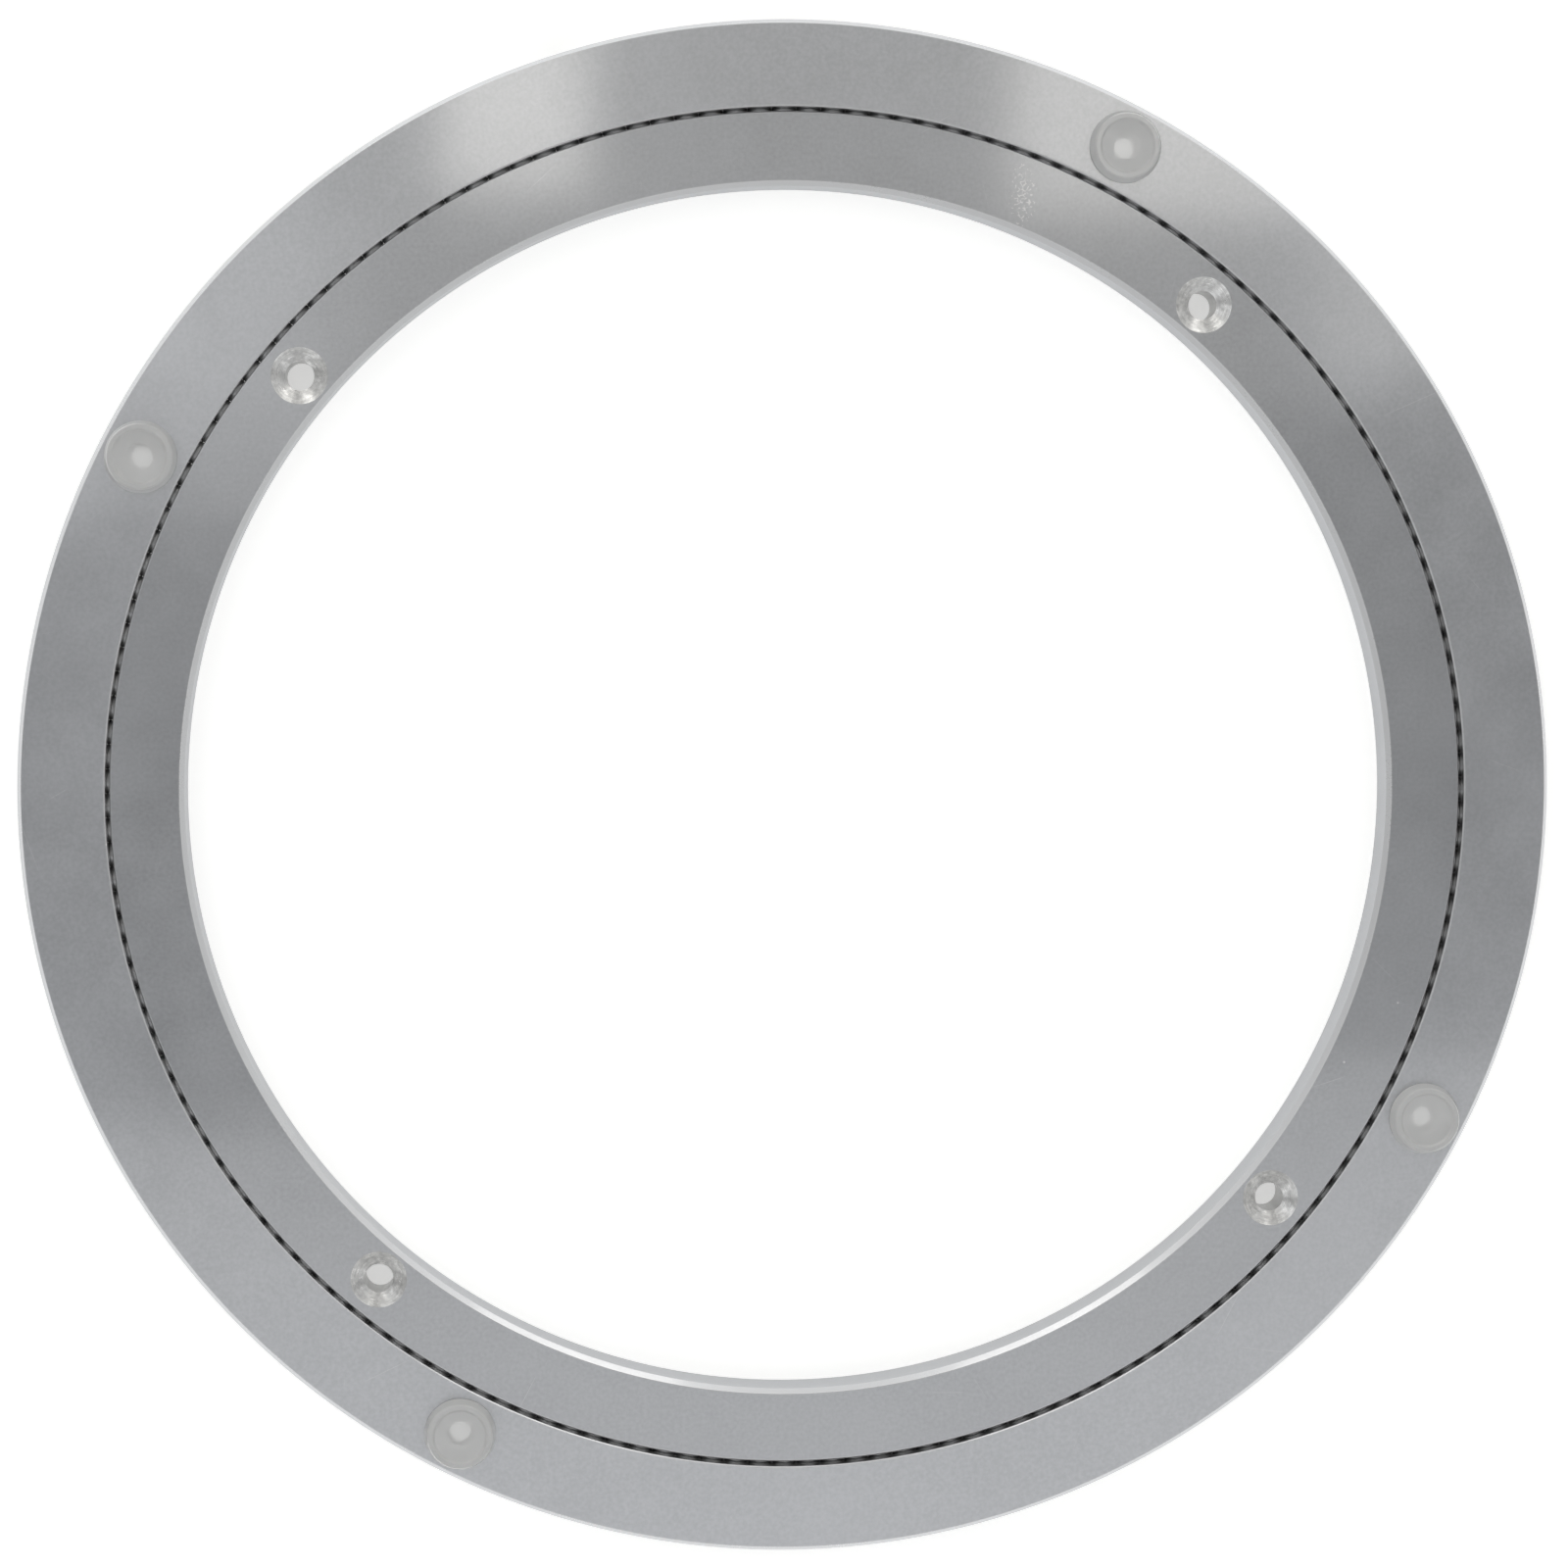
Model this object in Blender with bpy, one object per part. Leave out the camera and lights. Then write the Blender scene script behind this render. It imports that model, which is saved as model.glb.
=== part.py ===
"""Two-ring turntable bearing, 300 mm.

Two flat aluminium rings run in one another on a full row of steel balls.
The inner ring screws down on a base through four countersunk holes. The outer
ring turns, and carries a top disc on four soft bumpers pushed into holes in it.

Frame: origin on the axis, on the inner ring's back face; +Z is the turning axis
and points to the side that the bumpers are on. All lengths are metres.
"""
import math

import bmesh
import bpy
from mathutils import Matrix, Vector

MM = 0.001

# ---- driving dimensions -----------------------------------------------------
OUTSIDE_DIAMETER = 300.0 * MM
OUTER_RING_WIDTH = 16.8 * MM
INNER_RING_WIDTH = 14.4 * MM
RING_GAP = 0.8 * MM               # radial gap between the two rings
RING_THICKNESS = 10.0 * MM        # of both rings
RING_STEP = 1.0 * MM              # the outer ring stands this much higher

BALL_DIAMETER = 4.7625 * MM       # 3/16 in bearing ball
BALL_PITCHES_PER_NODE = 5         # every fifth ball of the full row is a solid here

SCREW_FROM_BORE = 7.0 * MM        # bore wall to the screw holes' centres
SCREW_HOLE_DIAMETER = 5.6 * MM
COUNTERSINK_DIAMETER = 11.0 * MM
COUNTERSINK_ANGLE = math.radians(118.0)
SCREW_COUNT = 4
SCREW_START = math.radians(49.65)

BUMPER_COUNT = 4
BUMPER_START = math.radians(62.6)
BUMPER_DIAMETER = 14.0 * MM       # at its foot
BUMPER_TAPER = 0.7 * MM           # the rim is this much smaller in radius than the foot
BUMPER_HEIGHT = 3.5 * MM
BUMPER_LIP = 0.8 * MM             # flat width of the raised rim
BUMPER_DISH = 0.6 * MM            # depth of the dished top
DIMPLE_DIAMETER = 4.6 * MM
DIMPLE_DEPTH = 0.7 * MM           # below the dish
STEM_HOLE_DIAMETER = 5.6 * MM
STEM_LENGTH = 7.0 * MM

PLUG_RECESS = 0.4 * MM            # the plug's face lies this far inside the rim
SOCKET_ACROSS_FLATS = 3.0 * MM
SOCKET_DEPTH = 2.5 * MM

FACE_CHAMFER_BORE = 1.0 * MM      # front edge of the bore
FACE_CHAMFER_RIM = 0.8 * MM       # front edge of the rim
BACK_CHAMFER = 0.5 * MM
GAP_EDGE_BREAK = 0.25 * MM        # on the four edges beside the ring gap

# ---- clearances -------------------------------------------------------------
BALL_CLEARANCE = 0.2 * MM         # ball to race, all round
LOADING_PLAY = 1.2 * MM           # loading hole over ball diameter, so one ball drops through
PUSH_FIT_GAP = 0.25 * MM          # stem to its hole, plug to its hole
SEAT_GAP = 0.3 * MM               # bumper head to the ring face

# ---- resolution -------------------------------------------------------------
RING_SIDES = 96
RACE_STEPS = 8
HOLE_SIDES = 24
BUMPER_SIDES = 24
SMOOTH_ANGLE = math.radians(35.0)

# ---- sizes that follow ------------------------------------------------------
RIM_RADIUS = OUTSIDE_DIAMETER / 2
OUTER_RING_RADIUS = RIM_RADIUS - OUTER_RING_WIDTH   # outer ring's inner wall
PITCH_RADIUS = OUTER_RING_RADIUS - RING_GAP / 2     # circle through the ball centres
INNER_RING_RADIUS = OUTER_RING_RADIUS - RING_GAP    # inner ring's outer wall
BORE_RADIUS = INNER_RING_RADIUS - INNER_RING_WIDTH
BALL_RADIUS = BALL_DIAMETER / 2
RACE_RADIUS = BALL_RADIUS + BALL_CLEARANCE

INNER_FACE_Z = RING_THICKNESS
OUTER_BACK_Z = RING_STEP
OUTER_FACE_Z = RING_STEP + RING_THICKNESS
BALL_Z = (OUTER_BACK_Z + INNER_FACE_Z) / 2          # middle of the shared height

FULL_ROW = math.floor(math.pi / math.asin(BALL_RADIUS / PITCH_RADIUS))
BALL_NODES = FULL_ROW // BALL_PITCHES_PER_NODE

SCREW_CIRCLE_RADIUS = BORE_RADIUS + SCREW_FROM_BORE
BUMPER_CIRCLE_RADIUS = (OUTER_RING_RADIUS + RIM_RADIUS) / 2
PLUG_HOLE_DIAMETER = BALL_DIAMETER + LOADING_PLAY
PLUG_ANGLE = BUMPER_START + math.pi / BUMPER_COUNT  # half way between two bumpers
PLUG_INNER_END = PITCH_RADIUS + RACE_RADIUS + BALL_CLEARANCE
PLUG_OUTER_END = RIM_RADIUS - PLUG_RECESS
CUT_OVERRUN = 1.0 * MM                              # cutters run past what they cut


def clear_scene():
    for old in list(bpy.data.objects):
        bpy.data.objects.remove(old, do_unlink=True)


def material(name, colour, roughness, metallic):
    finish = bpy.data.materials.new(name)
    finish.use_nodes = True
    shader = finish.node_tree.nodes["Principled BSDF"]
    shader.inputs["Base Color"].default_value = (*colour, 1.0)
    shader.inputs["Roughness"].default_value = roughness
    shader.inputs["Metallic"].default_value = metallic
    return finish


def add_object(name, shape, finish=None):
    """A mesh object from a bmesh, shaded smooth between its sharp edges."""
    mesh = bpy.data.meshes.new(name)
    shape.to_mesh(mesh)
    shape.free()
    mesh.shade_smooth()
    mesh.set_sharp_from_angle(angle=SMOOTH_ANGLE)
    if finish:
        mesh.materials.append(finish)
    piece = bpy.data.objects.new(name, mesh)
    bpy.context.scene.collection.objects.link(piece)
    return piece


def on_circle(radius, angle, height=0.0):
    return Vector((radius * math.cos(angle), radius * math.sin(angle), height))


def turned(profile, sides, closed):
    """A solid of revolution about Z from (radius, height) points.

    A closed profile makes a ring. An open one starts and ends on the axis.
    """
    shape = bmesh.new()
    points = [shape.verts.new((radius, 0.0, height)) for radius, height in profile]
    edges = [shape.edges.new(pair) for pair in zip(points, points[1:])]
    if closed:
        edges.append(shape.edges.new((points[-1], points[0])))
    bmesh.ops.spin(shape, geom=points + edges, cent=(0, 0, 0), axis=(0, 0, 1),
                   angle=math.tau, steps=sides, use_merge=True)
    bmesh.ops.remove_doubles(shape, verts=shape.verts, dist=0.001 * MM)
    bmesh.ops.recalc_face_normals(shape, faces=shape.faces)
    return shape


def prism(radius, sides, low, high):
    """A straight bar along Z, from low to high."""
    shape = bmesh.new()
    place = Matrix.Translation((0, 0, (low + high) / 2))
    bmesh.ops.create_cone(shape, cap_ends=True, segments=sides, radius1=radius, radius2=radius,
                          depth=high - low, matrix=place)
    return shape


def cut(piece, cutter):
    """Take the cutter's shape out of a piece, and keep the cutter as a guide."""
    cutter.hide_render = True
    cutter.display_type = "WIRE"
    boolean = piece.modifiers.new("cut_" + cutter.name, "BOOLEAN")
    boolean.operation = "DIFFERENCE"
    boolean.solver = "EXACT"
    boolean.object = cutter


def race_arc(side):
    """The race's section, top to bottom: side is +1 in the outer ring, -1 in the inner."""
    lip = math.acos(RING_GAP / 2 / RACE_RADIUS)
    angles = [lip - 2 * lip * step / RACE_STEPS for step in range(RACE_STEPS + 1)]
    return [(PITCH_RADIUS + side * RACE_RADIUS * math.cos(a), BALL_Z + RACE_RADIUS * math.sin(a))
            for a in angles]


def outer_ring(finish):
    profile = [
        (RIM_RADIUS - BACK_CHAMFER, OUTER_BACK_Z),
        (RIM_RADIUS, OUTER_BACK_Z + BACK_CHAMFER),
        (RIM_RADIUS, OUTER_FACE_Z - FACE_CHAMFER_RIM),
        (RIM_RADIUS - FACE_CHAMFER_RIM, OUTER_FACE_Z),
        (OUTER_RING_RADIUS + GAP_EDGE_BREAK, OUTER_FACE_Z),
        (OUTER_RING_RADIUS, OUTER_FACE_Z - GAP_EDGE_BREAK),
        *race_arc(+1),
        (OUTER_RING_RADIUS, OUTER_BACK_Z + GAP_EDGE_BREAK),
        (OUTER_RING_RADIUS + GAP_EDGE_BREAK, OUTER_BACK_Z),
    ]
    ring = add_object("outer_ring", turned(profile, RING_SIDES, closed=True), finish)

    stem_hole = prism(STEM_HOLE_DIAMETER / 2, HOLE_SIDES,
                      OUTER_BACK_Z - CUT_OVERRUN, OUTER_FACE_Z + CUT_OVERRUN)
    for number, angle in bumper_places():
        cutter = add_object(f"stem_hole_{number}", stem_hole.copy())
        cutter.location = on_circle(BUMPER_CIRCLE_RADIUS, angle)
        cut(ring, cutter)
    stem_hole.free()

    loading_hole = add_object("loading_hole", prism(PLUG_HOLE_DIAMETER / 2, HOLE_SIDES,
                                                    PITCH_RADIUS, RIM_RADIUS + CUT_OVERRUN))
    aim_outwards(loading_hole)
    cut(ring, loading_hole)
    return ring


def inner_ring(finish):
    profile = [
        (BORE_RADIUS + BACK_CHAMFER, 0.0),
        (BORE_RADIUS, BACK_CHAMFER),
        (BORE_RADIUS, INNER_FACE_Z - FACE_CHAMFER_BORE),
        (BORE_RADIUS + FACE_CHAMFER_BORE, INNER_FACE_Z),
        (INNER_RING_RADIUS - GAP_EDGE_BREAK, INNER_FACE_Z),
        (INNER_RING_RADIUS, INNER_FACE_Z - GAP_EDGE_BREAK),
        *race_arc(-1),
        (INNER_RING_RADIUS, GAP_EDGE_BREAK),
        (INNER_RING_RADIUS - GAP_EDGE_BREAK, 0.0),
    ]
    ring = add_object("inner_ring", turned(profile, RING_SIDES, closed=True), finish)

    hole_radius = SCREW_HOLE_DIAMETER / 2
    slope = math.tan(COUNTERSINK_ANGLE / 2)
    sink_depth = (COUNTERSINK_DIAMETER / 2 - hole_radius) / slope
    screw_hole = turned([
        (0.0, -CUT_OVERRUN),
        (hole_radius, -CUT_OVERRUN),
        (hole_radius, INNER_FACE_Z - sink_depth),
        (COUNTERSINK_DIAMETER / 2 + CUT_OVERRUN * slope, INNER_FACE_Z + CUT_OVERRUN),
        (0.0, INNER_FACE_Z + CUT_OVERRUN),
    ], HOLE_SIDES, closed=False)
    for index in range(SCREW_COUNT):
        cutter = add_object(f"screw_hole_{index + 1}", screw_hole.copy())
        cutter.location = on_circle(SCREW_CIRCLE_RADIUS, SCREW_START + index * math.tau / SCREW_COUNT)
        cut(ring, cutter)
    screw_hole.free()
    return ring


def bumper_places():
    return [(index + 1, BUMPER_START + index * math.tau / BUMPER_COUNT) for index in range(BUMPER_COUNT)]


def bumper_mesh(finish):
    """A tapered soft head with a dished top, on a stem for the ring's hole."""
    stem_radius = STEM_HOLE_DIAMETER / 2 - PUSH_FIT_GAP
    foot_radius = BUMPER_DIAMETER / 2
    rim_radius = foot_radius - BUMPER_TAPER
    top = BUMPER_HEIGHT
    dish_radius = rim_radius - BUMPER_LIP - BUMPER_DISH
    dimple_radius = DIMPLE_DIAMETER / 2
    tip_chamfer = 0.6 * MM
    edge_round = 0.4 * MM
    profile = [
        (0.0, -STEM_LENGTH),
        (stem_radius - tip_chamfer, -STEM_LENGTH),
        (stem_radius, -STEM_LENGTH + tip_chamfer),
        (stem_radius, SEAT_GAP),
        (foot_radius - edge_round, SEAT_GAP),
        (foot_radius, SEAT_GAP + edge_round),
        (rim_radius, top - edge_round),
        (rim_radius - edge_round / 2, top),
        (rim_radius - BUMPER_LIP, top),
        (dish_radius, top - BUMPER_DISH),
        (dimple_radius, top - BUMPER_DISH),
        (dimple_radius / 2, top - BUMPER_DISH - DIMPLE_DEPTH),
        (0.0, top - BUMPER_DISH - DIMPLE_DEPTH),
    ]
    pattern = add_object("bumper_pattern", turned(profile, BUMPER_SIDES, closed=False), finish)
    mesh = pattern.data
    bpy.data.objects.remove(pattern)
    return mesh


def bumpers(finish):
    mesh = bumper_mesh(finish)
    pieces = []
    for number, angle in bumper_places():
        piece = bpy.data.objects.new(f"bumper_{number}", mesh)
        bpy.context.scene.collection.objects.link(piece)
        piece.location = on_circle(BUMPER_CIRCLE_RADIUS, angle, OUTER_FACE_Z)
        pieces.append(piece)
    return pieces


def aim_outwards(piece):
    """Lay a piece made along Z in the ball plane, pointing out at the plug's angle."""
    piece.location = (0.0, 0.0, BALL_Z)
    piece.rotation_euler = (0.0, math.pi / 2, PLUG_ANGLE)


def loading_plug(finish):
    radius = PLUG_HOLE_DIAMETER / 2 - PUSH_FIT_GAP
    plug = add_object("loading_plug", prism(radius, HOLE_SIDES, PLUG_INNER_END, PLUG_OUTER_END), finish)
    aim_outwards(plug)
    socket_radius = SOCKET_ACROSS_FLATS / 2 / math.cos(math.pi / 6)
    socket = add_object("plug_socket", prism(socket_radius, 6, PLUG_OUTER_END - SOCKET_DEPTH,
                                             PLUG_OUTER_END + CUT_OVERRUN))
    aim_outwards(socket)
    cut(plug, socket)
    return plug


def balls(finish):
    """Every fifth ball of the full row, evenly spaced on the pitch circle."""
    shape = bmesh.new()
    bmesh.ops.create_icosphere(shape, subdivisions=2, radius=BALL_RADIUS)
    pattern = add_object("ball_pattern", shape, finish)
    pattern.data.set_sharp_from_angle(angle=math.pi)
    mesh = pattern.data
    bpy.data.objects.remove(pattern)
    pieces = []
    for index in range(BALL_NODES):
        piece = bpy.data.objects.new(f"ball_{index + 1:02d}", mesh)
        bpy.context.scene.collection.objects.link(piece)
        angle = index * BALL_PITCHES_PER_NODE * math.tau / FULL_ROW
        piece.location = on_circle(PITCH_RADIUS, angle, BALL_Z)
        piece.rotation_euler = (0.0, 0.0, angle)
        pieces.append(piece)
    return pieces


def joint_axis(name, pieces):
    """An empty on the turning axis, the parent of what turns together."""
    axis = bpy.data.objects.new(name, None)
    bpy.context.scene.collection.objects.link(axis)
    for piece in pieces:
        piece.parent = axis
    return axis


def build():
    clear_scene()
    aluminium = material("satin_aluminium", (0.47, 0.48, 0.49), 0.38, 1.0)
    clear_rubber = material("clear_rubber", (0.62, 0.63, 0.61), 0.35, 0.0)
    ball_steel = material("ball_steel", (0.62, 0.63, 0.64), 0.12, 1.0)
    plug_steel = material("plug_steel", (0.22, 0.22, 0.23), 0.45, 1.0)

    inner_ring(aluminium)
    turning = [outer_ring(aluminium), *bumpers(clear_rubber), loading_plug(plug_steel)]
    joint_axis("turntable_axis", turning)
    joint_axis("ball_row_axis", balls(ball_steel))


build()
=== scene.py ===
"""Looks of a two-ring turntable bearing: machined rings, ball row, rubber bumpers, loading plug."""
import math

import bmesh
import bpy
import numpy as np
from mathutils import Matrix, Quaternion, Vector


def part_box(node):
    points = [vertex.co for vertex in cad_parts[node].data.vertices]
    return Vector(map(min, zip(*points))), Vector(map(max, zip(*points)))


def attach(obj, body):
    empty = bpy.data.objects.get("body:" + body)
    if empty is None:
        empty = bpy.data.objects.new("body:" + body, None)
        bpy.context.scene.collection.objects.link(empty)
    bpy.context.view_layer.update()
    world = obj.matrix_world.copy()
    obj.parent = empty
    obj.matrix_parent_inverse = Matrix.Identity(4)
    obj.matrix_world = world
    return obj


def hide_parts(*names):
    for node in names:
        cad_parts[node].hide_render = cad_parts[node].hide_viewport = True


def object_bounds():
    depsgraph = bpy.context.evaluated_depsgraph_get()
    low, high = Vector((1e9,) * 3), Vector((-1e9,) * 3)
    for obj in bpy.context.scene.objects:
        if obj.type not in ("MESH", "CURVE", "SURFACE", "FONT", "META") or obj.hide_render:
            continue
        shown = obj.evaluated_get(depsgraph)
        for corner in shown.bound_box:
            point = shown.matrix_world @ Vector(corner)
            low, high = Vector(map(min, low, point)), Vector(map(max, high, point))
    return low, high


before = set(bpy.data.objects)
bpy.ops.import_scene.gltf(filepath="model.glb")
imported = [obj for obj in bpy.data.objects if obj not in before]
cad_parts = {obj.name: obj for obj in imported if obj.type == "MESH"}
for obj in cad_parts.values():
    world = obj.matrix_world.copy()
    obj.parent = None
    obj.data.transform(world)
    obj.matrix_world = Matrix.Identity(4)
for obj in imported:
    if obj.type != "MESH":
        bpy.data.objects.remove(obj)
cad_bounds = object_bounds()

MM = 0.001


# ---- sizes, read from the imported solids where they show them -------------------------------
def reach(node):
    """Least and greatest distance of a node's corners from the turning axis."""
    corners = np.array([v.co[:2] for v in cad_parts[node].data.vertices])
    distance = np.hypot(corners[:, 0], corners[:, 1])
    return float(distance.min()), float(distance.max())


def middle(node):
    low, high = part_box(node)
    return (low + high) / 2


OUTER_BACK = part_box("outer_ring")[0].z
OUTER_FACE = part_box("outer_ring")[1].z
INNER_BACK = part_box("inner_ring")[0].z
INNER_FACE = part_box("inner_ring")[1].z
RIM = reach("outer_ring")[1]
BORE = reach("inner_ring")[0]
RING_GAP = 0.8 * MM
INNER_WALL = reach("inner_ring")[1]              # the inner ring's outer wall, at the gap
OUTER_WALL = INNER_WALL + RING_GAP               # the outer ring's inner wall, at the gap

BALL_NODES = sorted(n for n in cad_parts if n.startswith("ball_"))
BALL_PLACE = middle(BALL_NODES[0])
PITCH = Vector(BALL_PLACE.xy).length
BALL = (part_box(BALL_NODES[0])[1].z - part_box(BALL_NODES[0])[0].z) / 2
BALLS_PER_NODE = 5                               # only every fifth ball is a solid of its own
BALL_COUNT = BALLS_PER_NODE * len(BALL_NODES)
RACE_CLEARANCE = 0.2 * MM
RACE = BALL + RACE_CLEARANCE

SCREW_COUNT = 4
SCREW_START = math.radians(49.65)
SCREW_CIRCLE = BORE + 7.0 * MM
SCREW_HOLE = 2.8 * MM                            # this and the other hole sizes are radii
COUNTERSINK = 5.5 * MM
COUNTERSINK_ANGLE = math.radians(118.0)
COUNTERSINK_DEPTH = (COUNTERSINK - SCREW_HOLE) / math.tan(COUNTERSINK_ANGLE / 2)
COUNTERSINK_BANDS = 9
CHATTER = 0.018 * MM                             # how far the chattering cutter left the cone

BUMPER_NODES = sorted(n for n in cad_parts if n.startswith("bumper_"))
BUMPER_PLACE = middle(BUMPER_NODES[0])
BUMPER_CIRCLE = Vector(BUMPER_PLACE.xy).length
BUMPER_START = math.atan2(BUMPER_PLACE.y, BUMPER_PLACE.x)
BUMPER_FOOT = (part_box(BUMPER_NODES[0])[1].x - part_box(BUMPER_NODES[0])[0].x) / 2
BUMPER_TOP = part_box(BUMPER_NODES[0])[1].z
STEM_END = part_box(BUMPER_NODES[0])[0].z
STEM_HOLE = 2.8 * MM

PLUG_PLACE = middle("loading_plug")
PLUG_ANGLE = math.atan2(PLUG_PLACE.y, PLUG_PLACE.x)
PLUG_HOLE = BALL + 0.6 * MM                      # wide enough to put the balls in through

RIM_CHAMFER = 0.8 * MM
BORE_CHAMFER = 1.0 * MM
BACK_CHAMFER = 0.5 * MM
GAP_CHAMFER = 0.25 * MM
EDGE_ROUND = 0.12 * MM                           # the fine round on every turned edge
SUPPORT = 0.05 * MM                              # strip that keeps a face flat beside a round
LEAD_IN = 0.3 * MM                               # the small chamfer at the mouth of a plain hole

# turns a shape made along Z to point outwards along X, at the height of the balls
LAID_OUTWARDS = Matrix.Translation((0, 0, BALL_PLACE.z)) @ Matrix.Rotation(math.pi / 2, 4, "Y")

RING_STEPS = 480
HOLE_STEPS = 80
COUNTERSINK_STEPS = 144
SMOOTH = math.radians(24.0)                      # edges sharper than this stay sharp


# ---- meshes --------------------------------------------------------------------------------
def fillet(before, corner, after, radius, steps=4):
    """Points that round a section's corner, with a support point at each end."""
    to_before, to_after = (before - corner).normalized(), (after - corner).normalized()
    half = to_before.angle(to_after) / 2
    tangent = radius / math.tan(half)
    centre = corner + (to_before + to_after).normalized() * radius / math.sin(half)
    first, last = corner + to_before * tangent - centre, corner + to_after * tangent - centre
    arc = [centre + first.slerp(last, step / steps).normalized() * radius for step in range(steps + 1)]
    return [arc[0] + to_before * SUPPORT, *arc, arc[-1] + to_after * SUPPORT]


def section(corners):
    """A closed turned section from (radius, height, round) corners, each rounded by its own radius."""
    points = [Vector(c[:2]) for c in corners]
    outline = []
    for i, (corner, item) in enumerate(zip(points, corners)):
        if item[2]:
            outline += fillet(points[i - 1], corner, points[(i + 1) % len(points)], item[2])
        else:
            outline.append(corner)
    return outline


def race(side, steps=20):
    """Corners of the ball race, top to bottom: side is +1 in the outer ring and -1 in the inner."""
    lip = math.acos((OUTER_WALL - PITCH) / RACE)
    turns = [lip - 2 * lip * step / steps for step in range(steps + 1)]
    return [(PITCH + side * RACE * math.cos(t), BALL_PLACE.z + RACE * math.sin(t), 0.0) for t in turns]


def mesh_object(name, shape):
    mesh = bpy.data.meshes.new(name)
    shape.to_mesh(mesh)
    shape.free()
    piece = bpy.data.objects.new(name, mesh)
    bpy.context.scene.collection.objects.link(piece)
    return piece


def wire(name, outline, closed=True):
    """An outline of edges for the turning tree, which reads X as outwards and -Y as up."""
    shape = bmesh.new()
    verts = [shape.verts.new((p[0], -p[1], 0.0)) for p in outline]
    for a, b in zip(verts, verts[1:]):
        shape.edges.new((a, b))
    if closed:
        shape.edges.new((verts[-1], verts[0]))
    return mesh_object(name, shape)


def tidy_shell(piece, sharp=SMOOTH):
    """Merges doubles, points the faces outwards and shades them smooth between sharp edges."""
    shape = bmesh.new()
    shape.from_mesh(piece.data)
    bmesh.ops.remove_doubles(shape, verts=shape.verts, dist=0.0005 * MM)
    bmesh.ops.recalc_face_normals(shape, faces=shape.faces)
    shape.to_mesh(piece.data)
    shape.free()
    piece.data.shade_smooth()
    piece.data.set_sharp_from_angle(angle=sharp)
    return piece


# ---- geometry node trees -------------------------------------------------------------------
def new_tree(name, kind, inputs, outputs):
    """A node group with named sockets. inputs and outputs are (name, socket type, default)."""
    tree = bpy.data.node_groups.new(name, kind)
    for label, socket, *default in inputs:
        made = tree.interface.new_socket(label, in_out="INPUT", socket_type=socket)
        if default:
            made.default_value = default[0]
    for label, socket in outputs:
        tree.interface.new_socket(label, in_out="OUTPUT", socket_type=socket)
    return tree


def add(tree, kind, settings=None, **inputs):
    """A node with its settings, and its inputs linked to sockets or set to values.

    An input is called by its label, with _ for a space, or by its number, as i0, i1 and so on.
    """
    node = tree.nodes.new(kind)
    for key, value in (settings or {}).items():
        setattr(node, key, value)
    for key, value in inputs.items():
        label = key.replace("_", " ")
        by_number = key[0] == "i" and key[1:].isdigit()
        socket = node.inputs[int(key[1:])] if by_number else node.inputs[label]
        if isinstance(value, bpy.types.NodeSocket):
            tree.links.new(value, socket)
        else:
            socket.default_value = value
    return node


def math_node(tree, operation, *values):
    return add(tree, "ShaderNodeMath", {"operation": operation},
               **{f"i{i}": value for i, value in enumerate(values)}).outputs[0]


GEOMETRY, NUMBER, COUNT = "NodeSocketGeometry", "NodeSocketFloat", "NodeSocketInt"
FINISH, THING = "NodeSocketMaterial", "NodeSocketObject"


def finish_tree(tree, geometry, finish):
    real = add(tree, "GeometryNodeRealizeInstances", Geometry=geometry).outputs[0]
    done = add(tree, "GeometryNodeSetMaterial", Geometry=real, Material=finish).outputs[0]
    add(tree, "NodeGroupOutput", Geometry=done)


def turning_tree():
    """Sweeps a section once round the axis."""
    tree = new_tree("turn_section", "GeometryNodeTree",
                    [("Section", GEOMETRY), ("Steps", COUNT), ("Path Radius", NUMBER), ("Finish", FINISH)],
                    [("Geometry", GEOMETRY)])
    given = tree.nodes.new("NodeGroupInput").outputs
    path = add(tree, "GeometryNodeCurvePrimitiveCircle", Resolution=given["Steps"],
               Radius=given["Path Radius"]).outputs[0]
    upright = add(tree, "GeometryNodeSetCurveNormal", {"mode": "Z_UP"}, Curve=path).outputs[0]
    outline = add(tree, "GeometryNodeMeshToCurve", Mesh=given["Section"]).outputs[0]
    swept = add(tree, "GeometryNodeCurveToMesh", Curve=upright, Profile_Curve=outline).outputs[0]
    finish_tree(tree, swept, given["Finish"])
    return tree


def spacing_tree():
    """Copies a piece evenly round the axis, each copy turned to face outwards."""
    tree = new_tree("space_round_axis", "GeometryNodeTree",
                    [("Piece", GEOMETRY), ("Count", COUNT), ("Circle Radius", NUMBER),
                     ("Start Angle", NUMBER), ("Height", NUMBER), ("Finish", FINISH)],
                    [("Geometry", GEOMETRY)])
    given = tree.nodes.new("NodeGroupInput").outputs
    step = math_node(tree, "DIVIDE", math.tau, given["Count"])
    index = tree.nodes.new("GeometryNodeInputIndex").outputs[0]
    angle = math_node(tree, "ADD", math_node(tree, "MULTIPLY", index, step), given["Start Angle"])
    place = add(tree, "ShaderNodeCombineXYZ",
                X=math_node(tree, "MULTIPLY", given["Circle Radius"], math_node(tree, "COSINE", angle)),
                Y=math_node(tree, "MULTIPLY", given["Circle Radius"], math_node(tree, "SINE", angle)),
                Z=given["Height"]).outputs[0]
    points = add(tree, "GeometryNodePoints", Count=given["Count"], Position=place).outputs[0]
    turn = add(tree, "ShaderNodeCombineXYZ", Z=angle).outputs[0]
    copies = add(tree, "GeometryNodeInstanceOnPoints", Points=points, Instance=given["Piece"],
                 Rotation=turn).outputs[0]
    finish_tree(tree, copies, given["Finish"])
    return tree


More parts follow.
